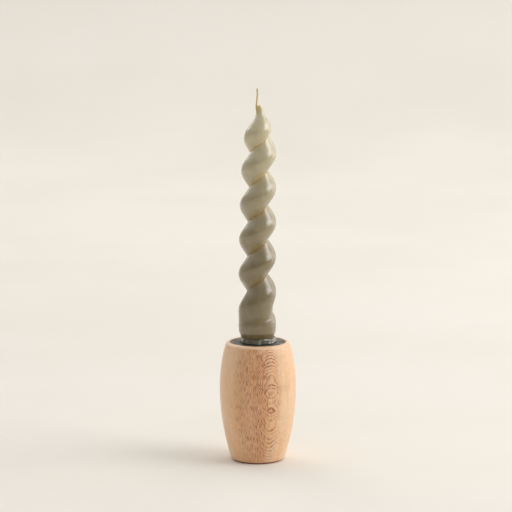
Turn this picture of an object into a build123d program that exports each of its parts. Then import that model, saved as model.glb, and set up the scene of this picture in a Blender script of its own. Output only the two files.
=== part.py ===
from build123d import *

# A turned beech candlestick with its twisted dinner candle, in millimetres.
# The barrel stands on a felt disc. A cast cup, painted black, is let into its top
# and held down by one wood screw. The candle's round foot stands loose in the
# cup's socket, in a collar of soft wax, and lifts straight out.
# Origin: centre of the felt's underside. +Z is up, and the front faces -Y.

import os
from math import asin, cos, degrees, pi, sin, sqrt

# Barrel: two arcs that meet at the widest point
rim_height = 80.0
widest_height = 50.0
widest_radius = 25.5
lower_arc_radius = 161.0
upper_arc_radius = 104.0
rim_outer_fillet = 2.0
rim_inner_fillet = 0.4
base_bevel = 0.4

# Felt disc under the barrel
felt_thickness = 1.0
felt_inset = 1.0
felt_fillet = 0.3

# Cast cup: a round plate with a socket below it
plate_radius = 18.3
plate_thickness = 2.2
plate_drop = 0.3
plate_edge_fillet = 0.6
mouth_fillet = 0.5
socket_radius = 11.2
socket_depth = 18.0
socket_wall = 1.4
socket_floor = 2.0
fitting_gap = 0.1

# Wood screw, countersunk, with a cross recess
screw_length = 20.0
screw_head_radius = 3.4
screw_core_radius = 1.15
thread_radius = 1.75
thread_pitch = 1.6
thread_turns = 8
point_length = 3.0
cross_width = 0.9
cross_span = 3.6
cross_depth = 1.1
cross_taper = 12.0

# Candle: a round foot, then one groove that winds up to the tip
foot_radius = 10.9
foot_bevel = 1.0
shoulder_height = 84.8
candle_top = 237.0
twist_pitch = 23.0
groove_depth = 6.0
groove_faces_right_at = 125.7
sections_per_turn = 12
flank_steps = 12
# Height, radius over the crest, and how much of the groove's full depth is cut there
candle_stations = [
    (84.8, 11.0, 0.0),
    (88.0, 12.2, 0.0),
    (96.0, 12.6, 0.12),
    (104.0, 12.6, 0.8),
    (112.0, 12.6, 1.0),
    (160.0, 12.2, 1.0),
    (190.0, 11.65, 1.0),
    (207.0, 11.3, 0.95),
    (215.0, 10.6, 0.8),
    (223.0, 8.5, 0.55),
    (230.0, 5.8, 0.35),
    (237.0, 2.8, 0.2),
]

# Wick: straight in the wax, and slightly bent where it is bare
wick_radius = 0.65
wick_offset = 0.3
wick_bend_height = 227.0
wick_lean = 0.6
wick_bend_radius = 8.0
wick_top = 249.0

# Collar of soft wax round the foot, on the plate
collar_top_radius = 11.3
collar_belly_radius = 11.9
collar_lip_radius = 12.2
collar_top_slope = (1, -0.5)
collar_lip_slope = (0.5, -1)

# Worked out from the dimensions above
plate_top = rim_height - plate_drop
plate_bottom = plate_top - plate_thickness
recess_radius = plate_radius + fitting_gap
socket_bottom = plate_top - socket_depth
cup_bottom = socket_bottom - socket_floor
cup_radius = socket_radius + socket_wall
well_radius = cup_radius + fitting_gap
well_bottom = cup_bottom - fitting_gap


def barrel_radius(height, arc_radius):
    """Radius of the barrel at a height, on its arc of that radius."""
    rise = height - widest_height
    return widest_radius - arc_radius + sqrt(arc_radius**2 - rise**2)


def barrel_angle(height, arc_radius):
    """Angle in degrees round the arc, from the widest point to a height."""
    return degrees(asin((height - widest_height) / arc_radius))


rim_radius = barrel_radius(rim_height, upper_arc_radius)
base_radius = barrel_radius(felt_thickness, lower_arc_radius)


# ---- Cup screw: the rings round its core stand for the thread ----
screw_tip = socket_bottom - screw_length
thread_bottom = screw_tip + point_length
thread_top = thread_bottom + thread_turns * thread_pitch
neck_top = socket_bottom - (screw_head_radius - thread_radius)

screw_outline = [(0, screw_tip), (screw_core_radius, thread_bottom)]
for turn in range(thread_turns):
    root = thread_bottom + turn * thread_pitch
    screw_outline.append((thread_radius, root + thread_pitch / 2))
    screw_outline.append((screw_core_radius, root + thread_pitch))
screw_outline.append((thread_radius, thread_top + thread_pitch / 2))
screw_outline.append((thread_radius, neck_top))
screw_outline.append((screw_head_radius, socket_bottom))
screw_outline.append((0, socket_bottom))

with BuildPart() as cup_screw:
    with BuildSketch(Plane.XZ):
        with BuildLine():
            Polyline(*screw_outline, close=True)
        make_face()
    revolve(axis=Axis.Z)
    with BuildSketch(Plane.XY.offset(socket_bottom)):
        Rectangle(cross_span, cross_width)
        Rectangle(cross_width, cross_span)
    extrude(amount=-cross_depth, taper=cross_taper, mode=Mode.SUBTRACT)

cup_screw.part.label = "cup_screw"


# ---- Candle cup: plate and socket in one casting ----
with BuildPart() as candle_cup:
    with BuildSketch(Plane.XY.offset(plate_bottom)):
        Circle(plate_radius)
    extrude(amount=plate_thickness)
    with BuildSketch(Plane.XY.offset(cup_bottom)):
        Circle(cup_radius)
    extrude(until=Until.NEXT)
    with Locations((0, 0, plate_top)):
        Hole(socket_radius, depth=socket_depth)
    with Locations((0, 0, socket_bottom)):
        CounterSinkHole(thread_radius, screw_head_radius, depth=socket_floor)
    top_edges = candle_cup.edges().filter_by(GeomType.CIRCLE).group_by(Axis.Z)[-1].sort_by(SortBy.RADIUS)
    fillet(top_edges[-1], plate_edge_fillet)
    fillet(top_edges[0], mouth_fillet)

candle_cup.part.label = "candle_cup"


# ---- Wooden body: barrel with a recess, a well, and a hole that the screw has cut ----
with BuildPart() as wooden_body:
    with BuildSketch(Plane.XZ):
        with BuildLine():
            CenterArc(
                (widest_radius - lower_arc_radius, widest_height),
                lower_arc_radius,
                0,
                barrel_angle(felt_thickness, lower_arc_radius),
            )
            CenterArc(
                (widest_radius - upper_arc_radius, widest_height),
                upper_arc_radius,
                0,
                barrel_angle(rim_height, upper_arc_radius),
            )
            Polyline(
                (rim_radius, rim_height),
                (0, rim_height),
                (0, felt_thickness),
                (base_radius, felt_thickness),
            )
        make_face()
    revolve(axis=Axis.Z)
    with Locations((0, 0, rim_height)):
        CounterBoreHole(
            radius=well_radius,
            counter_bore_radius=recess_radius,
            counter_bore_depth=rim_height - plate_bottom,
            depth=rim_height - well_bottom,
        )
    add(cup_screw.part, mode=Mode.SUBTRACT)
    rim_edges = wooden_body.edges().filter_by(GeomType.CIRCLE).group_by(Axis.Z)[-1].sort_by(SortBy.RADIUS)
    fillet(rim_edges[-1], rim_outer_fillet)
    fillet(rim_edges[0], rim_inner_fillet)
    chamfer(wooden_body.edges().filter_by(GeomType.CIRCLE).group_by(Axis.Z)[0], base_bevel)

wooden_body.part.label = "wooden_body"


# ---- Felt pad ----
with BuildPart() as felt_pad:
    with BuildSketch():
        Circle(base_radius - felt_inset)
    extrude(amount=felt_thickness)
    fillet(felt_pad.edges().group_by(Axis.Z)[0], felt_fillet)

felt_pad.part.label = "felt_pad"


# ---- Wick ----
with BuildPart() as wick:
    with BuildLine():
        FilletPolyline(
            (-wick_offset, 0, socket_bottom),
            (-wick_offset, 0, wick_bend_height),
            (-wick_offset - wick_lean, 0, candle_top),
            (-wick_offset, 0, (candle_top + wick_top) / 2),
            (-wick_offset, 0, wick_top),
            radius=wick_bend_radius,
        )
    with BuildSketch(Plane.XY.offset(socket_bottom)):
        with Locations((-wick_offset, 0)):
            Circle(wick_radius)
    sweep()

wick.part.label = "wick"


# ---- Candle ----
def station_at(height):
    """Radius over the crest, and share of the groove, between the listed stations."""
    for lower, upper in zip(candle_stations, candle_stations[1:]):
        if height <= upper[0]:
            break
    part_way = (height - lower[0]) / (upper[0] - lower[0])
    crest = lower[1] + part_way * (upper[1] - lower[1])
    share = lower[2] + part_way * (upper[2] - lower[2])
    return crest, share


def lobe_fall(across):
    """Share of the groove's depth lost across a lobe: 0 at the crest, 1 in the groove.

    The lobe is a parabola as far as half way, then a straight flank into a sharp groove.
    """
    if across < 0.5:
        return 4 / 3 * across**2
    return 4 / 3 * (across - 0.25)


def flank_outline(height, side):
    """Half of the candle's outline at a height, from the groove to the crest. Side is 1 or -1."""
    crest, share = station_at(height)
    groove_angle = 2 * pi * (height - groove_faces_right_at) / twist_pitch
    outline = []
    for part_way in flank_parameters:
        radius = crest - groove_depth * share * lobe_fall(1 - part_way)
        angle = groove_angle + side * pi * part_way
        outline.append(Vector(radius * cos(angle), radius * sin(angle)))
    return outline


flank_parameters = [index / flank_steps for index in range(flank_steps + 1)]
section_count = round((candle_top - shoulder_height) / twist_pitch * sections_per_turn)
section_step = (candle_top - shoulder_height) / section_count

with BuildPart() as candle:
    with BuildSketch(Plane.XY.offset(socket_bottom)):
        Circle(foot_radius)
    extrude(amount=shoulder_height - socket_bottom)
    chamfer(candle.edges().group_by(Axis.Z)[0], foot_bevel)
    for index in range(section_count + 1):
        section_height = shoulder_height + index * section_step
        with BuildSketch(Plane.XY.offset(section_height)):
            with BuildLine():
                for side in (1, -1):
                    # Shared parameters keep the lofted faces light
                    add(Edge.make_spline(flank_outline(section_height, side), parameters=flank_parameters))
            make_face()
    loft()
    add(wick.part, mode=Mode.SUBTRACT)

candle.part.label = "candle"


# ---- Wax collar: belly below the shoulder, spreading to a lip on the plate ----
with BuildPart() as wax_collar:
    with BuildSketch(Plane.XZ):
        with BuildLine():
            Polyline(
                (collar_lip_radius, plate_top),
                (foot_radius, plate_top),
                (foot_radius, shoulder_height),
                (collar_top_radius, shoulder_height),
            )
            Spline(
                (collar_top_radius, shoulder_height),
                (collar_belly_radius, (shoulder_height + plate_top) / 2),
                (collar_lip_radius, plate_top),
                tangents=(collar_top_slope, collar_lip_slope),
            )
        make_face()
    revolve(axis=Axis.Z)

wax_collar.part.label = "wax_collar"


os.makedirs("parts", exist_ok=True)
export_step(wooden_body.part, "parts/wooden_body.step")
export_step(candle_cup.part, "parts/candle_cup.step")
export_step(cup_screw.part, "parts/cup_screw.step")
export_step(felt_pad.part, "parts/felt_pad.step")
export_step(candle.part, "parts/candle.step")
export_step(wick.part, "parts/wick.step")
export_step(wax_collar.part, "parts/wax_collar.step")
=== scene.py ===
"""A turned beech candlestick with its twisted dinner candle: the visual model.

Every length is in metres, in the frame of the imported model. The origin is the centre of the felt's underside,
+Z is up, and the front of the candlestick faces -Y.
"""

import logging
import math
from dataclasses import dataclass
from enum import Enum
from typing import Any, NamedTuple, Sequence

import bmesh
import bpy
from bmesh.types import BMEdge, BMesh, BMVert
from bpy.types import Material, Node, NodeSocket, NodeTree, Object
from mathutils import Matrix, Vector, noise


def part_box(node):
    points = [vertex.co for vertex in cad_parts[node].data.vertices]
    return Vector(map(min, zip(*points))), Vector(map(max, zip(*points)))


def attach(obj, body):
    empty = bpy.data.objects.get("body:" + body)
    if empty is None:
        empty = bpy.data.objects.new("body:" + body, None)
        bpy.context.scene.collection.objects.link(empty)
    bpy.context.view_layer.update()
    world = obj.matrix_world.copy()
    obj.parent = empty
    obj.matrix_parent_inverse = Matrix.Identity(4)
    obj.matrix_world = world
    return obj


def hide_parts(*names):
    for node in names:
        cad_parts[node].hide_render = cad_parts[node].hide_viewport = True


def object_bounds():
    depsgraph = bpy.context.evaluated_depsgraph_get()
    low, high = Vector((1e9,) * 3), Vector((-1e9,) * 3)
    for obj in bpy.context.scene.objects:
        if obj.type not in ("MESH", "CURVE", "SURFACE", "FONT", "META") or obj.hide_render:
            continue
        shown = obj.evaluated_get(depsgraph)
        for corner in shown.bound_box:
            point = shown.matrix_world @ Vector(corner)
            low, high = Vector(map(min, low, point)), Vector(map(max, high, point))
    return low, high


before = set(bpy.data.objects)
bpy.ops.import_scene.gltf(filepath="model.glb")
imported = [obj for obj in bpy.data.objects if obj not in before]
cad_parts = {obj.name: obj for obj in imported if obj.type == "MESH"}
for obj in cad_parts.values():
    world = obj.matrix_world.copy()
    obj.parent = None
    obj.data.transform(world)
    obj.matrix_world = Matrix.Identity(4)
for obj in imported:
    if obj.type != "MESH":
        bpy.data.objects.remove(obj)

cad_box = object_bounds()
log = logging.getLogger("candlestick")

MM = 0.001
SUNK = "sunk"  # how deep a point of the candle lies in the groove, from 0 to 1
Outline = Sequence[tuple[float, float]]
Colour = tuple[float, float, float, float]


class Body(Enum):
    """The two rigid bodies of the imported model."""

    HOLDER = "holder"
    CANDLE = "loose_candle"


class Blend(Enum):
    """How one colour is laid over another."""

    COVER = "MIX"
    DARKEN = "MULTIPLY"


def tint(red: int, green: int, blue: int) -> Colour:
    """Turn a screen colour into the linear colour that shaders use.

    Args:
        red: Red, from 0 to 255.
        green: Green, from 0 to 255.
        blue: Blue, from 0 to 255.

    Returns:
        The linear red, green and blue, and an alpha of 1.
    """
    parts = [part / 255 for part in (red, green, blue)]
    linear = [part / 12.92 if part <= 0.04045 else ((part + 0.055) / 1.055) ** 2.4 for part in parts]
    return (linear[0], linear[1], linear[2], 1.0)


def blend_between(start: float, end: float, part_way: float) -> float:
    """Go from start to end as part_way goes from 0 to 1, easing out of one and into the other."""
    part_way = min(max(part_way, 0.0), 1.0)
    return start + (end - start) * part_way * part_way * (3 - 2 * part_way)


# ---------------------------------------------------------------- shader nodes


class Step(NamedTuple):
    """A soft step of a value: from low, where it gives start, to high, where it gives end."""

    low: float
    high: float
    start: float = 0.0
    end: float = 1.0


class Bench:
    """Adds and joins the nodes of one material or node group."""

    def __init__(self, tree: NodeTree) -> None:
        """Take the node tree that the nodes go in."""
        self.tree = tree

    def add(self, kind: str, feeds: dict[str | int, Any] | None = None, **settings: Any) -> Node:
        """Add one node.

        Args:
            kind: The node's type name.
            feeds: For each input, by name or number, a constant or the output that feeds it.
            settings: The node's own settings.

        Returns:
            The new node.
        """
        node = self.tree.nodes.new(kind)
        for setting, value in settings.items():
            setattr(node, setting, value)
        for name, value in (feeds or {}).items():
            self.feed(node, name, value)
        return node

    def feed(self, node: Node, name: str | int, value: Any) -> None:
        """Give an input a constant, or join an output to it."""
        if isinstance(value, NodeSocket):
            self.tree.links.new(value, node.inputs[name])
        else:
            node.inputs[name].default_value = value

    def place(self, size: float, stretch: Sequence[float] = (1.0, 1.0, 1.0), turn: float = 0.0) -> Any:
        """Read a point of the piece, measured in steps of one size.

        Args:
            size: The length of one step.
            stretch: How many times longer the step is along X, Y and Z.
            turn: Turn about Z, in radians.

        Returns:
            The vector output.
        """
        where = self.add("ShaderNodeTexCoord")
        scale = [1 / (size * length) for length in stretch]
        turned = self.add("ShaderNodeMapping", {"Vector": where.outputs["Object"], "Rotation": (0, 0, turn)})
        return self.add("ShaderNodeMapping", {"Vector": turned.outputs[0], "Scale": scale}).outputs[0]

    def cloud(self, vector: Any, detail: float = 2.0, roughness: float = 0.5, seed: float = 0.0) -> Any:
        """Add a noise of one step per unit and return its value, about 0.5."""
        feeds = {"Vector": vector, "W": seed, "Scale": 1.0, "Detail": detail, "Roughness": roughness}
        return self.add("ShaderNodeTexNoise", feeds, noise_dimensions="4D").outputs[0]

    def sum(self, operation: str, first: Any, second: Any = 0.0, third: Any = 0.0) -> Any:
        """Work out one value from up to three others."""
        return self.add("ShaderNodeMath", {0: first, 1: second, 2: third}, operation=operation).outputs[0]

    def span(self, value: Any, low: float, high: float, start: Any = 0.0, end: Any = 1.0) -> Any:
        """Map low to start and high to end, with a soft step between and nothing beyond."""
        feeds = {"Value": value, "From Min": low, "From Max": high, "To Min": start, "To Max": end}
        return self.add("ShaderNodeMapRange", feeds, interpolation_type="SMOOTHSTEP").outputs[0]

    def mix(self, share: Any, under: Any, over: Any, blend: Blend = Blend.COVER) -> Any:
        """Lay one colour over another by a share of 0 to 1."""
        node = self.add("ShaderNodeMix", data_type="RGBA", blend_type=blend.value)
        for name, value in (("Factor_Float", share), ("A_Color", under), ("B_Color", over)):
            socket = next(entry for entry in node.inputs if entry.identifier == name)
            if isinstance(value, NodeSocket):
                self.tree.links.new(value, socket)
            else:
                socket.default_value = value
        return next(entry for entry in node.outputs if entry.identifier == "Result_Color")

    def bump(self, height: Any, distance: float, strength: float = 1.0) -> Any:
        """Turn a height of 0 to 1 into a normal, with the height of 1 at a distance."""
        feeds = {"Height": height, "Distance": distance, "Strength": strength}
        return self.add("ShaderNodeBump", feeds).outputs[0]


def new_group(name: str, inputs: dict[str, float | None], outputs: Sequence[str]) -> tuple[Bench, Any, Any]:
    """Start a shader node group with named sockets.

    Args:
        name: The group's name.
        inputs: Each input's name, with its usual value, or None for a vector.
        outputs: The names of the value outputs.

    Returns:
        The bench that fills the group, its input node and its output node.
    """
    tree = bpy.data.node_groups.new(name, "ShaderNodeTree")
    for title, value in inputs.items():
        kind = "NodeSocketVector" if value is None else "NodeSocketFloat"
        socket = tree.interface.new_socket(title, in_out="INPUT", socket_type=kind)
        if value is not None:
            socket.default_value = value
    for title in outputs:
        tree.interface.new_socket(title, in_out="OUTPUT", socket_type="NodeSocketFloat")
    bench = Bench(tree)
    return bench, bench.add("NodeGroupInput"), bench.add("NodeGroupOutput")


def mottle_group() -> NodeTree:
    """Soft patches at two sizes, for colour, shine and a gentle bump.

    Returns:
        The group, with the outputs Patches, Specks and Height.
    """
    name = "mottle"
    if name in bpy.data.node_groups:
        return bpy.data.node_groups[name]
    inputs = {"Place": None, "Seed": 0.0, "Fineness": 4.0}
    bench, given, result = new_group(name, inputs, ("Patches", "Specks", "Height"))
    where = {"Vector": given.outputs["Place"], "W": given.outputs["Seed"]}
    broad_feeds = where | {"Scale": 1.0, "Detail": 3.0}
    fine_feeds = where | {"Scale": given.outputs["Fineness"], "Detail": 4.0, "Roughness": 0.6}
    broad = bench.add("ShaderNodeTexNoise", broad_feeds, noise_dimensions="4D").outputs[0]
    fine = bench.add("ShaderNodeTexNoise", fine_feeds, noise_dimensions="4D").outputs[0]
    bench.feed(result, "Patches", bench.span(broad, 0.3, 0.7))
    bench.feed(result, "Specks", bench.span(fine, 0.42, 0.68))
    bench.feed(result, "Height", bench.sum("MULTIPLY_ADD", fine, 0.35, bench.sum("MULTIPLY", broad, 0.65)))
    return bench.tree


def place_mottle(bench: Bench, size: float, seed: float, fineness: float = 4.0) -> Node:
    """Put the mottle group in a material.

    Args:
        bench: The material's bench.
        size: The size of a broad patch.
        seed: Where in the noise the piece stands.
        fineness: How many specks cross a broad patch.

    Returns:
        The group node.
    """
    feeds = {"Place": bench.place(size), "Seed": seed, "Fineness": fineness}
    node = bench.add("ShaderNodeGroup")
    node.node_tree = mottle_group()
    for name, value in feeds.items():
        bench.feed(node, name, value)
    return node


def new_material(name: str) -> tuple[Material, Bench, Node]:
    """Start a material.

    Args:
        name: The material's name.

    Returns:
        The material, its bench and its Principled BSDF.
    """
    material = bpy.data.materials.new(name)
    material.use_nodes = True
    material.node_tree.nodes.clear()
    bench = Bench(material.node_tree)
    surface = bench.add("ShaderNodeBsdfPrincipled")
    bench.add("ShaderNodeOutputMaterial", {"Surface": surface.outputs[0]})
    return material, bench, surface


# ---------------------------------------------------------------- finishes


@dataclass(frozen=True)
class BeechFinish:
    """Oiled beech, cut so that growth rings close into ovals on the side a little right of the front.

    The grain runs through the block. Lengths here are in millimetres, and figure_turn brings the ovals
    to the front.
    """

    name: str = "oiled_beech"
    pale: Colour = tint(246, 209, 168)
    warm: Colour = tint(244, 194, 142)
    figured: Colour = tint(224, 160, 98)
    figured_share: float = 0.6
    ring_line: Colour = tint(176, 74, 24)
    ray: Colour = tint(160, 74, 24)
    ray_share: float = 0.8
    ray_lean: float = -1.7
    ray_width: float = 1.05
    ray_length: float = 4.2
    figure_turn: float = math.radians(-20.6)
    ring_turn: float = math.radians(-15)
    ray_turn: float = math.radians(10)
    face_distance: float = 25.5
    pith_distance: float = 80.0
    ring_spacing: float = 0.62
    ring_start: float = 0.45
    crook_from: float = 52.0
    crook: float = 0.1
    sway: float = 0.46
    sway_length: float = 12.8
    sway_centre: float = 50.0
    sway_middle: float = 44.0
    sway_full_within: float = 8.0
    sway_faint_beyond: float = 24.0
    stir: float = 0.5
    front: Step = Step(0.82, 0.97, 0.2)
    ring_front: Step = Step(0.9, 0.978, 0.16)
    ring_strength: Step = Step(0.38, 0.58, 0.4)
    line_rise: Step = Step(0.3, 0.75)
    line_fall: Step = Step(0.88, 1.0, 1.0, 0.0)
    beads: Step = Step(0.36, 0.56, 0.2)
    ray_edge: Step = Step(0.49, 0.6)
    ray_strength: Step = Step(0.3, 0.6, 0.5)
    drift: Step = Step(0.35, 0.65)
    fibre_shade: Step = Step(0.3, 0.7, 0.92, 1.05)
    fibre_roughness: Step = Step(0.2, 0.8, 0.39, 0.55)
    fibre_height: float = 0.5
    ray_height: float = -0.6
    pore_depth: float = 0.05 * MM
    pore_strength: float = 0.25
    oil: float = 0.8
    oil_roughness: float = 0.4

    def make(self) -> Material:
        """Build the material.

        Returns:
            The beech material.
        """
        material, bench, surface = new_material(self.name)
        even, swayed = self.depth(bench)
        zone = self.facing(bench, self.ray_turn, self.front)
        rings = self.rings(bench, swayed)
        rays = bench.sum("MULTIPLY", self.rays(bench, even), zone)
        drift = self.figure(bench, size=6, detail=2.0, seed=0.0, stretch=(1, 1, 9))
        fibre = self.figure(bench, size=0.4, detail=3.0, seed=3.0, stretch=(1, 1, 24), roughness=0.6)
        colour = bench.mix(bench.span(drift, *self.drift), self.pale, self.warm)
        colour = bench.mix(bench.sum("MULTIPLY", zone, self.figured_share), colour, self.figured)
        colour = bench.mix(rings, colour, self.ring_line)
        colour = bench.mix(bench.sum("MULTIPLY", rays, self.ray_share), colour, self.ray)
        streak = bench.span(fibre, *self.fibre_shade)
        shade = bench.add("ShaderNodeCombineColor", {0: streak, 1: streak, 2: streak}).outputs[0]
        bench.feed(surface, "Base Color", bench.mix(1.0, colour, shade, Blend.DARKEN))
        bench.feed(surface, "Roughness", bench.span(fibre, *self.fibre_roughness))
        grain = bench.sum("MULTIPLY", fibre, self.fibre_height)
        hollow = bench.sum("MULTIPLY_ADD", rays, self.ray_height, grain)
        bench.feed(surface, "Normal", bench.bump(hollow, self.pore_depth, self.pore_strength))
        bench.feed(surface, "Specular IOR Level", self.oil)
        bench.feed(surface, "Coat Weight", self.oil)
        bench.feed(surface, "Coat Roughness", self.oil_roughness)
        return material

    def facing(self, bench: Bench, turn: float, step: Step) -> Any:
        """Show 1 where the surface faces one way or its opposite, and less to the sides.

        Args:
            bench: The material's bench.
            turn: The turn about Z, in radians, that brings that way to the front.
            step: The cosines between which it grows, and the value to the sides.

        Returns:
            The value output.
        """
        normal = bench.add("ShaderNodeTexCoord").outputs["Normal"]
        turned = bench.add("ShaderNodeMapping", {"Vector": normal, "Rotation": (0, 0, turn)}).outputs[0]
        along = bench.add("ShaderNodeSeparateXYZ", {0: turned}).outputs[1]
        return bench.span(bench.sum("ABSOLUTE", along), *step)

    def figure(
        self,
        bench: Bench,
        size: float,
        detail: float,
        seed: float,
        stretch: Sequence[float] = (1, 1, 1),
        roughness: float = 0.5,
    ) -> Any:
        """Read a noise that is turned with the figure, of one step per size."""
        return bench.cloud(bench.place(size * MM, stretch, self.figure_turn), detail, roughness, seed)

    def depth(self, bench: Bench) -> tuple[Any, Any]:
        """Measure how deep a spot lies in the trunk.

        Args:
            bench: The material's bench.

        Returns:
            The distance from the pith in an even trunk, and with the waves that close rings into ovals.
        """
        spot = bench.place(MM, turn=self.figure_turn)
        height = bench.add("ShaderNodeSeparateXYZ", {0: spot}).outputs[2]
        to_pith = {0: spot, 1: (0.0, self.pith_distance, 0.0)}
        shifted = bench.add("ShaderNodeVectorMath", to_pith, operation="ADD").outputs[0]
        level = {0: shifted, 1: (1.0, 1.0, 0.0)}
        flat = bench.add("ShaderNodeVectorMath", level, operation="MULTIPLY").outputs[0]
        reach = bench.add("ShaderNodeVectorMath", {0: flat}, operation="LENGTH").outputs["Value"]
        past = bench.sum("MAXIMUM", bench.sum("SUBTRACT", height, self.crook_from), 0.0)
        even = bench.sum("MULTIPLY_ADD", past, self.crook, reach)
        above = bench.sum("SUBTRACT", height, self.sway_centre)
        turns = bench.sum("MULTIPLY", above, math.tau / self.sway_length)
        away = bench.sum("ABSOLUTE", bench.sum("SUBTRACT", height, self.sway_middle))
        swing = bench.span(away, self.sway_full_within, self.sway_faint_beyond, self.sway, self.sway / 5)
        wave = bench.sum("MULTIPLY", bench.sum("COSINE", turns), swing)
        stirred = bench.sum("SUBTRACT", self.figure(bench, size=5, detail=2.5, seed=7.0), 0.5)
        swayed = bench.sum("MULTIPLY_ADD", stirred, self.stir, even)
        return even, bench.sum("SUBTRACT", swayed, wave)

    def rings(self, bench: Bench, depth: Any) -> Any:
        """Draw the growth rings: fine beaded lines, 1 on a line.

        Args:
            bench: The material's bench.
            depth: The distance from the pith.

        Returns:
            The value output.
        """
        start = self.ring_start - (self.pith_distance - self.face_distance) / self.ring_spacing
        phase = bench.sum("FRACT", bench.sum("MULTIPLY_ADD", depth, 1 / self.ring_spacing, start))
        line = bench.sum("MULTIPLY", bench.span(phase, *self.line_rise), bench.span(phase, *self.line_fall))
        beads = bench.span(self.figure(bench, size=0.8, detail=1.0, seed=4.0), *self.beads)
        strength = bench.span(self.figure(bench, size=7, detail=2.0, seed=5.0), *self.ring_strength)
        seen = self.facing(bench, self.ring_turn, self.ring_front)
        beaded = bench.sum("MULTIPLY", line, beads)
        return bench.sum("MULTIPLY", beaded, bench.sum("MULTIPLY", strength, seen))

    def rays(self, bench: Bench, depth: Any) -> Any:
        """Draw the rays' ends: short dark upright strokes that lean with the rings, 1 in a stroke.

        Args:
            bench: The material's bench.
            depth: The distance from the pith.

        Returns:
            The value output.
        """
        spot = bench.add("ShaderNodeSeparateXYZ", {0: bench.place(MM, turn=self.figure_turn)}).outputs
        across = bench.sum("MULTIPLY_ADD", depth, self.ray_lean, spot[0])
        width = bench.sum("DIVIDE", across, self.ray_width)
        length = bench.sum("DIVIDE", spot[2], self.ray_length)
        leaning = bench.add("ShaderNodeCombineXYZ", {0: width, 1: 0.0, 2: length}).outputs[0]
        strokes = bench.cloud(leaning, detail=1.5, roughness=0.6, seed=8.0)
        uneven = self.figure(bench, size=9, detail=2.0, seed=2.0, stretch=(1, 1, 2))
        strength = bench.span(uneven, *self.ray_strength)
        return bench.sum("MULTIPLY", bench.span(strokes, *self.ray_edge), strength)


@dataclass(frozen=True)
class WaxFinish:
    """Coloured candle wax: satin, cloudy and a little clear, with painted light: paler towards the tip, and
    lifted brighter in the groove against its shade.
    """

    name: str
    body_tone: Colour
    # pale_tone, reached from pale_from up to pale_to, is painted light: the wax paler towards the tip, for
    # light passing through it.
    pale_tone: Colour
    seed: float
    pale_from: float
    pale_to: float
    pale_curve: float = 1.6
    cloud_size: float = 9 * MM
    cloud_share: float = 0.2
    # Painted light: this tint lifts the groove's colour brighter and warmer, cancelling the shade that gathers
    # there.
    groove_painted_light: Colour = (1.28, 1.16, 0.94, 1.0)
    groove_light_share: float = 0.9
    roughness: float = 0.34
    ripple: float = 0.5 * MM
    ripple_strength: float = 0.35
    shine: float = 0.9
    skin: float = 1.0
    skin_roughness: float = 0.2
    depth: float = 6.0 * MM
    depth_by_colour: tuple[float, float, float] = (1.0, 0.9, 0.7)
    clearness: float = 0.7

    def make(self) -> Material:
        """Build the material.

        Returns:
            The wax material.
        """
        material, bench, surface = new_material(self.name)
        clouds = place_mottle(bench, self.cloud_size, self.seed)
        height = bench.add("ShaderNodeSeparateXYZ", {0: bench.place(1.0)}).outputs[2]
        # Painted light: the wax grows paler towards the tip, standing for light passing through the thinning
        # wax.
        tip_light_share = bench.sum("POWER", bench.span(height, self.pale_from, self.pale_to), self.pale_curve)
        patches = bench.sum("SUBTRACT", clouds.outputs["Patches"], 0.5)
        cloudiness = bench.sum("MULTIPLY_ADD", patches, self.cloud_share, tip_light_share)
        colour = bench.mix(cloudiness, self.body_tone, self.pale_tone)
        # Painted light: in the groove the colour is lifted brighter and warmer, cancelling its shade.
        lit = bench.mix(1.0, colour, self.groove_painted_light, Blend.DARKEN)
        sunk = bench.add("ShaderNodeAttribute", attribute_name=SUNK).outputs["Fac"]
        groove_light_mask = bench.sum("MULTIPLY", bench.span(sunk, 0.5, 1.0), self.groove_light_share)
        bench.feed(surface, "Base Color", bench.mix(groove_light_mask, colour, lit))
        rough = bench.span(clouds.outputs["Specks"], 0.0, 1.0, self.roughness, self.roughness + 0.1)
        bench.feed(surface, "Roughness", rough)
        bench.feed(surface, "Normal", bench.bump(clouds.outputs["Height"], self.ripple, self.ripple_strength))
        bench.feed(surface, "Specular IOR Level", self.shine)
        bench.feed(surface, "Coat Weight", self.skin)
        bench.feed(surface, "Coat Roughness", self.skin_roughness)
        bench.feed(surface, "Subsurface Weight", self.clearness)
        bench.feed(surface, "Subsurface Radius", self.depth_by_colour)
        bench.feed(surface, "Subsurface Scale", self.depth)
        return material


@dataclass(frozen=True)
class BlackIronFinish:
    """Black paint over a fine cast grain, worn shiny in patches, with a painted reflection: grey mottled over
    the grain's specks and the worn patches.
    """

    name: str = "black_cast_iron"
    black: Colour = tint(28, 27, 25)
    # Painted reflection: this grey, mottled into the black, stands for the pale backdrop seen in the plate.
    reflection_grey: Colour = tint(104, 100, 92)
    reflection_grey_share: float = 0.3
    grain_size: float = 2.4 * MM
    worn_size: float = 7 * MM
    painted_roughness: float = 0.5
    worn_roughness: float = 0.28
    grain_depth: float = 0.35 * MM
    grain_strength: float = 0.8

    def make(self) -> Material:
        """Build the material.

        Returns:
            The painted iron material.
        """
        material, bench, surface = new_material(self.name)
        grain = place_mottle(bench, self.grain_size, 11.0, 5.0)
        worn = place_mottle(bench, self.worn_size, 12.0, 3.0)
        # Painted reflection: grey laid over the grain's specks and the worn patches stands for the pale
        # backdrop seen in the plate.
        specks = bench.sum("MULTIPLY", grain.outputs["Specks"], self.reflection_grey_share)
        share = bench.sum("MULTIPLY_ADD", worn.outputs["Patches"], self.reflection_grey_share, specks)
        bench.feed(surface, "Base Color", bench.mix(share, self.black, self.reflection_grey))
        rough = bench.span(worn.outputs["Patches"], 0.0, 1.0, self.painted_roughness, self.worn_roughness)
        bench.feed(surface, "Roughness", rough)
        bump = bench.bump(grain.outputs["Height"], self.grain_depth, self.grain_strength)
        bench.feed(surface, "Normal", bump)
        return material


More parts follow.
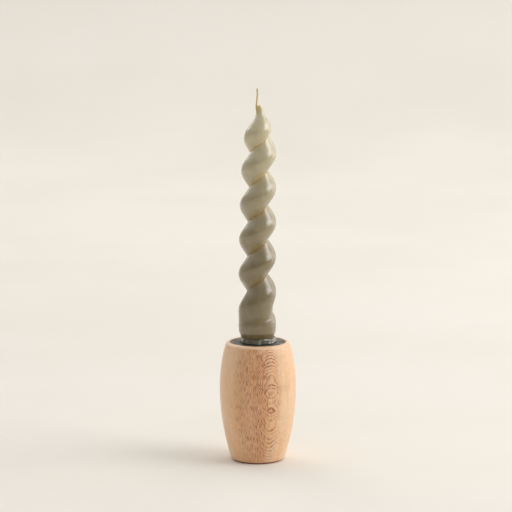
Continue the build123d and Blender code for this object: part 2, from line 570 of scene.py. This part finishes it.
@dataclass(frozen=True)
class MottledFinish:
    """A finish of two tones with a roughness that wanders over a fine grain."""

    name: str
    main: Colour
    other: Colour
    size: float
    seed: float
    fineness: float
    smoothest: float
    roughest: float
    grain_depth: float
    grain_strength: float
    toned_by: str = "Specks"
    roughened_by: str = "Patches"
    sheen: float = 0.0
    metallic: float = 0.0

    def make(self) -> Material:
        """Build the material.

        Returns:
            The material.
        """
        material, bench, surface = new_material(self.name)
        mottle = place_mottle(bench, self.size, self.seed, self.fineness)
        bench.feed(surface, "Base Color", bench.mix(mottle.outputs[self.toned_by], self.main, self.other))
        rough = bench.span(mottle.outputs[self.roughened_by], 0.0, 1.0, self.smoothest, self.roughest)
        bench.feed(surface, "Roughness", rough)
        bump = bench.bump(mottle.outputs["Height"], self.grain_depth, self.grain_strength)
        bench.feed(surface, "Normal", bump)
        bench.feed(surface, "Sheen Weight", self.sheen)
        bench.feed(surface, "Metallic", self.metallic)
        return material


@dataclass(frozen=True)
class CottonFinish(MottledFinish):
    """Braided cotton, natural and unburnt."""

    name: str = "wick_cotton"
    main: Colour = tint(232, 204, 132)
    other: Colour = tint(196, 160, 92)
    size: float = 0.6 * MM
    seed: float = 17.0
    fineness: float = 5.0
    smoothest: float = 0.75
    roughest: float = 0.95
    grain_depth: float = 0.12 * MM
    grain_strength: float = 0.8
    sheen: float = 0.3


@dataclass(frozen=True)
class FeltFinish(MottledFinish):
    """Pressed wool felt, brown."""

    name: str = "brown_felt"
    main: Colour = tint(136, 92, 60)
    other: Colour = tint(166, 124, 86)
    size: float = 1.2 * MM
    seed: float = 23.0
    fineness: float = 6.0
    smoothest: float = 0.84
    roughest: float = 0.98
    grain_depth: float = 0.3 * MM
    grain_strength: float = 0.9
    sheen: float = 0.4


@dataclass(frozen=True)
class ZincFinish(MottledFinish):
    """Zinc plating on a steel screw, a little dull."""

    name: str = "zinc_plate"
    main: Colour = tint(196, 196, 190)
    other: Colour = tint(150, 148, 140)
    size: float = 1.5 * MM
    seed: float = 31.0
    fineness: float = 4.0
    smoothest: float = 0.34
    roughest: float = 0.49
    grain_depth: float = 0.02 * MM
    grain_strength: float = 0.5
    toned_by: str = "Patches"
    roughened_by: str = "Specks"
    metallic: float = 1.0


@dataclass(frozen=True)
class PaperFinish:
    """The matt cream paper that the candlestick stands on."""

    name: str = "cream_paper"
    cream: Colour = tint(238, 233, 224)
    shade: Colour = tint(234, 229, 219)

    def make(self) -> Material:
        """Build the material.

        Returns:
            The paper material.
        """
        material, bench, surface = new_material(self.name)
        tone = place_mottle(bench, 0.3, 41.0, 3.0)
        bench.feed(surface, "Base Color", bench.mix(tone.outputs["Patches"], self.cream, self.shade))
        bench.feed(surface, "Roughness", 0.9)
        bench.feed(surface, "Specular IOR Level", 0.2)
        return material


# ---------------------------------------------------------------- shaping


@dataclass(frozen=True)
class Rounding:
    """A turned corner to round over: where it is, how far, and in how many steps."""

    radius: float
    height: float
    size: float
    segments: int = 4


def lathe(
    outline: Outline, steps: int, closed: bool = False, corners: Sequence[Rounding] = ()
) -> BMesh:
    """Turn an outline once round +Z, and round its corners over.

    Args:
        outline: Points of the outline, each a radius and a height.
        steps: Faces in one turn.
        closed: Whether the outline's last point joins its first.
        corners: The corners to round over.

    Returns:
        The turned mesh, with its faces pointing outwards.
    """
    mesh = bmesh.new()
    points = [mesh.verts.new((radius, 0.0, height)) for radius, height in outline]
    runs = list(zip(points, points[1:]))
    if closed:
        runs.append((points[-1], points[0]))
    edges = [mesh.edges.new(run) for run in runs]
    bmesh.ops.spin(
        mesh, geom=points + edges, cent=(0, 0, 0), axis=(0, 0, 1), angle=math.tau, steps=steps, use_merge=True
    )
    bmesh.ops.remove_doubles(mesh, verts=mesh.verts, dist=0.001 * MM)
    bmesh.ops.recalc_face_normals(mesh, faces=mesh.faces)
    for corner in corners:
        round_corner(mesh, corner)
    return mesh


def round_corner(mesh: BMesh, corner: Rounding) -> None:
    """Bevel the ring of edges at one turned corner.

    Args:
        mesh: The turned mesh.
        corner: The corner.
    """

    def stands_on(vertex: BMVert) -> bool:
        """Say whether a vertex is on the corner's ring."""
        across = math.hypot(vertex.co.x, vertex.co.y) - corner.radius
        return abs(across) < 0.01 * MM and abs(vertex.co.z - corner.height) < 0.01 * MM

    ring = [edge for edge in mesh.edges if all(stands_on(vertex) for vertex in edge.verts)]
    bmesh.ops.bevel(
        mesh,
        geom=ring,
        offset=corner.size,
        offset_type="OFFSET",
        segments=corner.segments,
        profile=0.5,
        affect="EDGES",
        material=-1,
    )


def finish_piece(mesh: BMesh, name: str, material: Material) -> Object:
    """Make a smooth-shaded object of a mesh, at the origin.

    Args:
        mesh: The mesh, which is freed.
        name: The object's name.
        material: Its material.

    Returns:
        The new object.
    """
    data = bpy.data.meshes.new(name)
    for face in mesh.faces:
        face.smooth = True
    mesh.to_mesh(data)
    mesh.free()
    data.materials.append(material)
    piece = bpy.data.objects.new(name, data)
    bpy.context.scene.collection.objects.link(piece)
    return piece


def crease_by_angle(piece: Object, angle: float) -> None:
    """Keep the edges sharper than an angle, in radians, crisp in the shading."""
    piece.data.set_sharp_from_angle(angle=angle)


def declare(piece: Object, body: Body, slot: str, *nodes: str) -> Object:
    """Put a piece on the body that it rides on, and hide the nodes that it stands for.

    Args:
        piece: The finished object.
        body: The body that it rides on.
        slot: Not used.
        nodes: The nodes that it replaces.

    Returns:
        The same object.
    """
    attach(piece, body.value)
    if nodes:
        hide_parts(*nodes)
    log.info("%s rides on %s, %d faces", piece.name, body.value, len(piece.data.polygons))
    return piece


# ---------------------------------------------------------------- the holder


@dataclass
class TurnedBarrel:
    """The turned beech barrel: two arcs that meet at the widest point, a recess and a well."""

    rim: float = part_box("wooden_body")[1].z
    bottom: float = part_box("wooden_body")[0].z
    widest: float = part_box("wooden_body")[1].x
    cup_plate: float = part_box("candle_cup")[1].x
    cup_bottom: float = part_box("candle_cup")[0].z
    widest_height: float = 50 * MM
    lower_arc: float = 161 * MM
    upper_arc: float = 104 * MM
    recess_floor: float = 77.5 * MM
    well: float = 12.7 * MM
    gap: float = 0.1 * MM
    pilot: float = 1.9 * MM
    pilot_depth: float = 18 * MM
    rim_round: float = 2.0 * MM
    recess_round: float = 0.45 * MM
    base_round: float = 0.4 * MM
    crease: float = math.radians(40)
    arc_steps: int = 20
    steps: int = 192

    def radius_at(self, height: float) -> float:
        """Give the barrel's radius at a height."""
        arc = self.upper_arc if height > self.widest_height else self.lower_arc
        return self.widest - arc + math.sqrt(arc**2 - (height - self.widest_height) ** 2)

    def outline(self) -> Outline:
        """Give half of the section, from the middle of the base round to the foot of the pilot hole.

        Returns:
            The radius and height of each point.
        """
        rise = (self.rim - self.bottom) / self.arc_steps
        side = [self.bottom + rise * step for step in range(self.arc_steps + 1)]
        recess = self.cup_plate + self.gap
        well_floor = self.cup_bottom - self.gap
        return [
            (0.0, self.bottom),
            *((self.radius_at(height), height) for height in side),
            (recess, self.rim),
            (recess, self.recess_floor),
            (self.well, self.recess_floor),
            (self.well, well_floor),
            (self.pilot, well_floor),
            (self.pilot, well_floor - self.pilot_depth),
            (0.0, well_floor - self.pilot_depth),
        ]

    def build(self, finish: BeechFinish) -> Object:
        """Turn the barrel and dress it.

        Args:
            finish: The beech.

        Returns:
            The barrel.
        """
        corners = [
            Rounding(self.radius_at(self.rim), self.rim, self.rim_round, 8),
            Rounding(self.cup_plate + self.gap, self.rim, self.recess_round, 4),
            Rounding(self.radius_at(self.bottom), self.bottom, self.base_round, 3),
        ]
        turned = lathe(self.outline(), self.steps, corners=corners)
        barrel = finish_piece(turned, "turned_barrel", finish.make())
        crease_by_angle(barrel, self.crease)
        return declare(barrel, Body.HOLDER, "beech", "wooden_body")


@dataclass
class CandleCup:
    """The cast cup: a flat round plate with a socket below it."""

    plate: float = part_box("candle_cup")[1].x
    top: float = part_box("candle_cup")[1].z
    bottom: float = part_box("candle_cup")[0].z
    plate_thickness: float = 2.2 * MM
    socket: float = 11.2 * MM
    wall: float = 1.4 * MM
    floor: float = 2.0 * MM
    screw_hole: float = 1.75 * MM
    screw_head: float = 3.4 * MM
    plate_round: float = 0.6 * MM
    mouth_round: float = 0.5 * MM
    crease: float = math.radians(35)
    steps: int = 160

    def outline(self) -> Outline:
        """Give the closed section of the casting.

        Returns:
            The radius and height of each point.
        """
        under = self.top - self.plate_thickness
        inside = self.bottom + self.floor
        return [
            (self.screw_hole, self.bottom),
            (self.socket + self.wall, self.bottom),
            (self.socket + self.wall, under),
            (self.plate, under),
            (self.plate, self.top),
            (self.socket, self.top),
            (self.socket, inside),
            (self.screw_head, inside),
            (self.screw_hole, inside - (self.screw_head - self.screw_hole)),
        ]

    def build(self, finish: BlackIronFinish, screw_finish: ZincFinish) -> Object:
        """Cast the cup, dress it, and plate the screw that holds it.

        Args:
            finish: The painted iron.
            screw_finish: The screw's plating.

        Returns:
            The cup.
        """
        corners = [
            Rounding(self.plate, self.top, self.plate_round),
            Rounding(self.socket, self.top, self.mouth_round),
        ]
        cast = lathe(self.outline(), self.steps, closed=True, corners=corners)
        cup = finish_piece(cast, "cast_cup", finish.make())
        crease_by_angle(cup, self.crease)
        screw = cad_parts["cup_screw"]
        screw.data.materials.clear()
        screw.data.materials.append(screw_finish.make())
        log.info("cup_screw keeps its own shape and is zinc plated")
        return declare(cup, Body.HOLDER, "black_iron", "candle_cup")


@dataclass
class FeltDisc:
    """The felt disc under the barrel, with a softly rounded edge."""

    radius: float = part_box("felt_pad")[1].x
    thickness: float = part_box("felt_pad")[1].z
    edge: float = 0.3 * MM
    crease: float = math.radians(40)
    steps: int = 160

    def build(self, finish: FeltFinish) -> Object:
        """Cut the disc and dress it.

        Args:
            finish: The felt.

        Returns:
            The disc.
        """
        outline = [(0.0, 0.0), (self.radius, 0.0), (self.radius, self.thickness), (0.0, self.thickness)]
        corners = [Rounding(self.radius, 0.0, self.edge, 3)]
        disc = finish_piece(lathe(outline, self.steps, corners=corners), "felt_disc", finish.make())
        crease_by_angle(disc, self.crease)
        return declare(disc, Body.HOLDER, "felt", "felt_pad")


# ---------------------------------------------------------------- the candle


def stops_around(stops: Sequence[Any], height: float) -> tuple[Any, Any, float]:
    """Find the stops below and above a height.

    Args:
        stops: Two stops or more, from low to high.
        height: The height.

    Returns:
        The lower stop, the upper stop and the part of the way from one to the other.
    """
    lower, upper = stops[0], stops[1]
    for lower, upper in zip(stops, stops[1:]):
        if height <= upper.height:
            break
    return lower, upper, (height - lower.height) / (upper.height - lower.height)


@dataclass(frozen=True)
class Station:
    """The twist at one height: the radius over the crest, and the share of the groove that is cut."""

    height: float
    crest: float
    groove: float


@dataclass
class TwistedCandle:
    """The dinner candle: a round foot, then one groove that winds up to the tip to the right."""

    foot_bottom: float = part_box("candle")[0].z
    top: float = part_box("candle")[1].z
    foot: float = 10.9 * MM
    foot_edge: float = 1.0 * MM
    pitch: float = 23.0 * MM
    groove: float = 6.0 * MM
    groove_faces_right_at: float = 125.7 * MM
    foot_lag: float = 3.2 * MM
    foot_lag_from: float = 118 * MM
    foot_lag_to: float = 98 * MM
    bow: float = 1.27e-4 / MM
    bow_start: float = 110 * MM
    bow_ends_below_top: float = 10 * MM
    bow_back: float = 0.42 * MM
    bow_back_full_at: float = 95 * MM
    dent: float = 0.1 * MM
    dent_size: float = 7 * MM
    foot_shoulder: float = 1.5 * MM
    crease: float = math.radians(50)
    ring_step: float = 0.8 * MM
    ring_points: int = 96
    dome: tuple[tuple[float, float], ...] = ((0.88, 0.25 * MM), (0.6, 0.55 * MM), (0.25, 0.7 * MM))
    stations: tuple[Station, ...] = (
        Station(79.6 * MM, 10.5 * MM, 0.0),
        Station(82.2 * MM, 10.6 * MM, 0.0),
        Station(84.2 * MM, 11.3 * MM, 0.0),
        Station(87.0 * MM, 12.3 * MM, 0.0),
        Station(91.0 * MM, 12.55 * MM, 0.0),
        Station(112.0 * MM, 12.6 * MM, 1.0),
        Station(160.0 * MM, 12.2 * MM, 1.0),
        Station(190.0 * MM, 11.65 * MM, 1.0),
        Station(207.0 * MM, 11.3 * MM, 0.95),
        Station(215.0 * MM, 10.7 * MM, 0.8),
        Station(221.5 * MM, 9.3 * MM, 0.5),
        Station(227.0 * MM, 6.4 * MM, 0.3),
        Station(232.0 * MM, 3.0 * MM, 0.15),
        Station(237.0 * MM, 1.95 * MM, 0.1),
    )

    def station_at(self, height: float) -> tuple[float, float]:
        """Give the crest's radius and the share of the groove at a height.

        Args:
            height: The height.

        Returns:
            The radius and the share.
        """
        lower, upper, part_way = stops_around(self.stations, height)
        crest = lower.crest + (upper.crest - lower.crest) * part_way
        return crest, blend_between(lower.groove, upper.groove, part_way)

    def lean_at(self, height: float) -> float:
        """Give how far the candle's middle has wandered to the right at a height."""
        past = max(min(height, self.top - self.bow_ends_below_top) - self.bow_start, 0.0)
        part_way = (height - self.foot_bottom) / (self.bow_back_full_at - self.foot_bottom)
        return self.bow * past**2 - blend_between(0.0, self.bow_back, part_way)

    def lobe_fall(self, across: float) -> float:
        """Give the share of the groove's depth lost across a lobe, 0 at the crest and 1 in the groove."""
        return 4 / 3 * (across**2 if across < 0.5 else across - 0.25)

    def ring_place(self, index: int, height: float) -> Vector:
        """Give the place of one point of the ring at a height.

        Args:
            index: The point's number, counted from the groove.
            height: The ring's height.

        Returns:
            The point.
        """
        crest, share = self.station_at(height)
        part_way = index / self.ring_points
        radius = crest - self.groove * share * self.lobe_fall(abs(2 * part_way - 1))
        down = (self.foot_lag_from - height) / (self.foot_lag_from - self.foot_lag_to)
        lag = self.foot_lag * blend_between(0.0, 1.0, down)
        angle = math.tau * ((height + lag - self.groove_faces_right_at) / self.pitch + part_way)
        middle = Vector((self.lean_at(height), 0.0, height))
        place = Vector((radius * math.cos(angle), radius * math.sin(angle), 0.0))
        dent = noise.noise((middle + place) / self.dent_size) * self.dent
        return middle + place * (1 + dent / radius)

    def build(self, finish: WaxFinish) -> Object:
        """Draw the candle up ring by ring, and dress it.

        Args:
            finish: The wax.

        Returns:
            The candle.
        """
        mesh = bmesh.new()
        sunk = mesh.verts.layers.float.new(SUNK)
        under = self.foot - self.foot_edge
        bmesh.ops.create_circle(mesh, cap_ends=True, segments=self.ring_points, radius=under)
        bmesh.ops.translate(mesh, verts=mesh.verts, vec=(0, 0, self.foot_bottom))
        ring = sorted(mesh.verts, key=lambda vertex: math.atan2(vertex.co.y, vertex.co.x) % math.tau)
        start = self.stations[0].height
        count = round((self.top - start) / self.ring_step)
        heights = [start + (self.top - start) * step / count for step in range(count + 1)]
        ring = self.draw_up(mesh, ring, self.round_ring(self.foot_bottom + self.foot_edge, self.foot))
        ring = self.draw_up(mesh, ring, self.round_ring(start - self.foot_shoulder, self.foot))
        for height in heights:
            places = [self.ring_place(index, height) for index in range(self.ring_points)]
            ring = self.draw_up(mesh, ring, places)
            share = self.station_at(height)[1]
            for index, vertex in enumerate(ring):
                vertex[sunk] = share * self.lobe_fall(abs(2 * index / self.ring_points - 1))
        self.close_tip(mesh, ring)
        bmesh.ops.recalc_face_normals(mesh, faces=mesh.faces)
        candle = finish_piece(mesh, "twisted_candle", finish.make())
        crease_by_angle(candle, self.crease)
        return declare(candle, Body.CANDLE, "candle_wax", "candle")

    def round_ring(self, height: float, radius: float) -> list[Vector]:
        """Give a plain round ring of points at a height, in step with the twist's first ring.

        Args:
            height: The height.
            radius: The radius.

        Returns:
            The points.
        """
        start = math.tau * (self.stations[0].height + self.foot_lag - self.groove_faces_right_at) / self.pitch
        angles = [start + math.tau * index / self.ring_points for index in range(self.ring_points)]
        return [Vector((radius * math.cos(angle), radius * math.sin(angle), height)) for angle in angles]

    @staticmethod
    def draw_up(
        mesh: BMesh, ring: list[BMVert], places: list[Vector]
    ) -> list[BMVert]:
        """Extrude a ring and move the new ring to its places.

        Args:
            mesh: The mesh.
            ring: The open ring, in order.
            places: Where each new point goes, in the same order.

        Returns:
            The new ring, in order.
        """
        edges = [mesh.edges.get((ring[index - 1], ring[index])) for index in range(len(ring))]
        bmesh.ops.extrude_edge_only(mesh, edges=edges)
        above = []
        for vertex in ring:
            grown = next(edge.other_vert(vertex) for edge in reversed(vertex.link_edges) if edge not in edges)
            above.append(grown)
        for vertex, place in zip(above, places):
            vertex.co = place
        return above

    def close_tip(self, mesh: BMesh, ring: list[BMVert]) -> None:
        """Close the top with a shallow dome.

        Args:
            mesh: The mesh.
            ring: The last ring.
        """
        middle = sum((vertex.co for vertex in ring), Vector()) / len(ring)
        for share, rise in self.dome:
            places = [middle + (vertex.co - middle) * share + Vector((0, 0, rise)) for vertex in ring]
            ring = self.draw_up(mesh, ring, places)
        mesh.faces.new(ring)


@dataclass(frozen=True)
class Bend:
    """How far to the right the wick's middle stands at one height."""

    height: float
    aside: float


@dataclass
class Wick:
    """The braided cotton wick, bare above the tip."""

    root: float = 231 * MM
    top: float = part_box("wick")[1].z
    strand: float = 0.33 * MM
    braid: float = 0.27 * MM
    braid_pitch: float = 3.4 * MM
    strands: int = 3
    strand_points: int = 10
    step: float = 0.35 * MM
    tip_rise: float = 0.6
    tip_share: float = 0.55
    bends: tuple[Bend, ...] = (
        Bend(231 * MM, -0.55 * MM),
        Bend(237 * MM, -1.0 * MM),
        Bend(240.7 * MM, -0.67 * MM),
        Bend(244.8 * MM, -0.33 * MM),
        Bend(249 * MM, -0.4 * MM),
    )

    def middle_at(self, height: float) -> Vector:
        """Give the middle of the wick at a height."""
        lower, upper, part_way = stops_around(self.bends, height)
        return Vector((blend_between(lower.aside, upper.aside, part_way), 0.0, height))

    def build(self, finish: CottonFinish) -> Object:
        """Wind the strands and dress them.

        Args:
            finish: The cotton.

        Returns:
            The wick.
        """
        mesh = bmesh.new()
        for number in range(self.strands):
            self.wind(mesh, math.tau * number / self.strands)
        bmesh.ops.recalc_face_normals(mesh, faces=mesh.faces)
        wick = finish_piece(mesh, "braided_wick", finish.make())
        return declare(wick, Body.CANDLE, "cotton", "wick")

    def wind(self, mesh: BMesh, start: float) -> None:
        """Draw one strand up round the wick's middle.

        Args:
            mesh: The mesh.
            start: The strand's angle at the root.
        """
        count = round((self.top - self.root - self.strand) / self.step)
        made = bmesh.ops.create_circle(mesh, cap_ends=True, segments=self.strand_points, radius=self.strand)
        ring = made["verts"]
        offsets = [vertex.co.copy() for vertex in ring]
        for index in range(count + 1):
            height = self.root + self.step * index
            angle = start + math.tau * (height - self.root) / self.braid_pitch
            middle = self.middle_at(height) + Vector((math.cos(angle), math.sin(angle), 0)) * self.braid
            places = [middle + offset for offset in offsets]
            if index == 0:
                for vertex, place in zip(ring, places):
                    vertex.co = place
            else:
                ring = TwistedCandle.draw_up(mesh, ring, places)
        tip = [vertex.co + Vector((0, 0, self.strand * self.tip_rise)) for vertex in ring]
        middle = sum(tip, Vector()) / len(tip)
        places = [middle + (place - middle) * self.tip_share for place in tip]
        ring = TwistedCandle.draw_up(mesh, ring, places)
        mesh.faces.new(ring)


@dataclass(frozen=True)
class Fold:
    """One run of waves round the collar: their height in or out, their number and their start, in radians."""

    depth: float
    count: int
    start: float

    def at(self, angle: float) -> float:
        """Give the wave's height at an angle."""
        return self.depth * math.sin(self.count * angle + self.start)


@dataclass
class WaxCollar:
    """The wavy collar of soft wax round the foot, pressed down on the plate."""

    plate_top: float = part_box("candle_cup")[1].z
    shift: float = 0.3 * MM
    inner: float = 10.2 * MM
    neck: float = 11.2 * MM
    belly: float = 11.6 * MM
    lip: float = 12.0 * MM
    height: float = 3.3 * MM
    clear: float = 0.05 * MM
    near: float = 0.1 * MM
    folds: tuple[Fold, ...] = (Fold(0.3 * MM, 7, 0.6), Fold(0.22 * MM, 12, 2.1), Fold(0.18 * MM, 19, 0.0))
    top_fold: Fold = Fold(0.35 * MM, 5, 1.3)
    steps: int = 180

    def build(self, finish: WaxFinish) -> Object:
        """Turn the collar, ruffle it and dress it.

        Args:
            finish: The wax.

        Returns:
            The collar.
        """
        base = self.plate_top + self.clear
        outline = [
            (self.inner, base),
            (self.lip - 0.3 * MM, base),
            (self.lip, base + 0.3 * MM),
            (self.lip - 0.15 * MM, base + 0.8 * MM),
            (self.belly, base + 1.6 * MM),
            (self.belly - 0.1 * MM, base + 2.5 * MM),
            (self.neck, base + self.height - 0.4 * MM),
            (self.neck - 0.3 * MM, base + self.height),
            (self.inner, base + self.height - 0.2 * MM),
        ]
        mesh = lathe(outline, self.steps, closed=True)
        bmesh.ops.subdivide_edges(mesh, edges=[edge for edge in mesh.edges if self.runs_up(edge)], cuts=1)
        for vertex in mesh.verts:
            self.ruffle(vertex, base)
        bmesh.ops.translate(mesh, verts=mesh.verts, vec=(self.shift, 0, 0))
        bmesh.ops.recalc_face_normals(mesh, faces=mesh.faces)
        collar = finish_piece(mesh, "soft_wax_collar", finish.make())
        return declare(collar, Body.CANDLE, "collar_wax", "wax_collar")

    def runs_up(self, edge: BMEdge) -> bool:
        """Say whether an edge runs up the outside of the collar."""
        outside = all(math.hypot(vertex.co.x, vertex.co.y) > self.inner + self.near for vertex in edge.verts)
        return outside and abs(edge.verts[0].co.z - edge.verts[1].co.z) > self.near

    def ruffle(self, vertex: BMVert, base: float) -> None:
        """Push one point of the collar in or out, and its top edge up or down.

        Args:
            vertex: The point.
            base: The height of the collar's underside.
        """
        angle = math.atan2(vertex.co.y, vertex.co.x)
        radius = math.hypot(vertex.co.x, vertex.co.y)
        share = (radius - self.inner) / (self.lip - self.inner)
        push = 1 + share * sum(fold.at(angle) for fold in self.folds) / radius
        lift = (vertex.co.z - base) / self.height * self.top_fold.at(angle)
        vertex.co = Vector((vertex.co.x * push, vertex.co.y * push, vertex.co.z + lift))


# ---------------------------------------------------------------- the studio


@dataclass(frozen=True)
class SoftLight:
    """A large, soft, square light: its bearing from +X and its height angle, in degrees, and its power."""

    name: str
    bearing: float
    climb: float
    power: float
    side: float = 1.6
    reach: float = 2.6

    def hang(self, target: Vector) -> Object:
        """Hang the light, out of the camera's sight.

        Args:
            target: What the light looks at.

        Returns:
            The light.
        """
        data = bpy.data.lights.new(self.name, "AREA")
        data.size = self.side
        data.energy = self.power
        light = bpy.data.objects.new(self.name, data)
        bearing, climb = math.radians(self.bearing), math.radians(self.climb)
        flat = math.cos(climb)
        way = Vector((flat * math.cos(bearing), flat * math.sin(bearing), math.sin(climb)))
        light.location = target + way * self.reach
        light.rotation_euler = (-way).to_track_quat("-Z", "Y").to_euler()
        light.visible_camera = False
        bpy.context.scene.collection.objects.link(light)
        return light


@dataclass
class Studio:
    """The pale paper sweep, the camera and the soft lights."""

    paper_reach: float = 8.0
    paper_back: float = 1.5
    paper_curve: float = 0.9
    paper_height: float = 2.6
    camera_distance: float = 1.5062
    camera_height: float = 0.3729
    camera_aside: float = -0.00125
    camera_pitch: float = math.radians(8.9)
    lens: float = 161.7
    raise_frame: float = 0.0014
    back_glow: float = 0.82
    top_glow: float = 0.51
    glow_from: float = -0.5
    glow_to: float = 0.9
    aim: float = 0.4
    lights: tuple[SoftLight, ...] = (
        SoftLight("key_light", -12, 35, 30.0),
        SoftLight("low_right_light", 25, 12, 12.0),
        SoftLight("far_right_light", 60, 35, 8.3),
        SoftLight("far_left_light", 120, 35, 12.7),
    )

    def build(self) -> None:
        """Lay the paper, set the camera and hang the lights."""
        self.lay_paper()
        self.set_camera()
        self.hang_lights()

    def lay_paper(self) -> None:
        """Lay the paper flat in front and curve it up behind."""
        mesh = bmesh.new()
        first = mesh.verts.new((-self.paper_reach, -self.paper_reach, 0.0))
        second = mesh.verts.new((self.paper_reach, -self.paper_reach, 0.0))
        edge = mesh.edges.new((first, second))
        self.pull(mesh, edge, (0, self.paper_reach + self.paper_back, 0))
        last = [entry for entry in mesh.edges if all(v.co.y > self.paper_back - MM for v in entry.verts)]
        bmesh.ops.spin(
            mesh,
            geom=last + [vertex for entry in last for vertex in entry.verts],
            cent=(0, self.paper_back, self.paper_curve),
            axis=(1, 0, 0),
            angle=math.pi / 2,
            steps=24,
        )
        back = self.paper_back + self.paper_curve
        last = [entry for entry in mesh.edges if all(v.co.y > back - MM for v in entry.verts)]
        self.pull(mesh, last[0], (0, 0, self.paper_height))
        bmesh.ops.recalc_face_normals(mesh, faces=mesh.faces)
        if sum(face.normal.z for face in mesh.faces) < 0:
            bmesh.ops.reverse_faces(mesh, faces=mesh.faces)
        paper = finish_piece(mesh, "paper_sweep", PaperFinish().make())
        log.info("the paper sweep is laid")

    @staticmethod
    def pull(mesh: BMesh, edge: BMEdge, way: tuple[float, float, float]) -> None:
        """Extrude one edge along a way."""
        grown = bmesh.ops.extrude_edge_only(mesh, edges=[edge])["geom"]
        moved = [entry for entry in grown if isinstance(entry, BMVert)]
        bmesh.ops.translate(mesh, verts=moved, vec=way)

    def set_camera(self) -> None:
        """Set the camera in front, a little above, tilted down."""
        data = bpy.data.cameras.new("view")
        data.lens = self.lens
        data.sensor_width = 36.0
        data.shift_y = self.raise_frame
        data.clip_end = 20.0
        camera = bpy.data.objects.new("view", data)
        camera.location = (self.camera_aside, -self.camera_distance, self.camera_height)
        camera.rotation_euler = (math.pi / 2 - self.camera_pitch, 0, 0)
        bpy.context.scene.collection.objects.link(camera)
        bpy.context.scene.camera = camera

    def hang_lights(self) -> None:
        """Hang the lights, and fill with a room that glows from behind and above."""
        low, high = cad_box
        for light in self.lights:
            light.hang(Vector((0, 0, (low.z + high.z) * self.aim)))
        world = bpy.data.worlds.new("soft_room")
        world.use_nodes = True
        room = Bench(world.node_tree)
        way = room.add("ShaderNodeSeparateXYZ", {0: room.add("ShaderNodeTexCoord").outputs["Generated"]})
        behind = room.span(way.outputs[1], self.glow_from, self.glow_to, 0.0, self.back_glow)
        above = room.span(way.outputs[2], self.glow_from, self.glow_to, 0.0, self.top_glow)
        sky = world.node_tree.nodes["Background"]
        room.feed(sky, "Color", (1.0, 1.0, 1.0, 1.0))
        room.feed(sky, "Strength", room.sum("ADD", behind, above))
        bpy.context.scene.world = world
        bpy.context.scene.view_settings.view_transform = "Standard"


def keep_sizes() -> None:
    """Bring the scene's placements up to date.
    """
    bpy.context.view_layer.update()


def main() -> None:
    """Build the studio, the holder and the candle."""
    logging.basicConfig(level=logging.INFO, format="%(name)s: %(message)s")
    Studio().build()
    candle_wax = WaxFinish(
        "olive_wax", tint(125, 107, 64), tint(198, 187, 151), seed=51.0, pale_from=0.085, pale_to=0.24
    )
    collar_wax = WaxFinish(
        "collar_wax",
        tint(92, 88, 64),
        tint(150, 142, 110),
        seed=57.0,
        pale_from=0.5,
        pale_to=0.6,
        depth=1.5 * MM,
    )
    TurnedBarrel().build(BeechFinish())
    CandleCup().build(BlackIronFinish(), ZincFinish())
    FeltDisc().build(FeltFinish())
    TwistedCandle().build(candle_wax)
    Wick().build(CottonFinish())
    WaxCollar().build(collar_wax)
    keep_sizes()


if __name__ == "__main__":
    main()
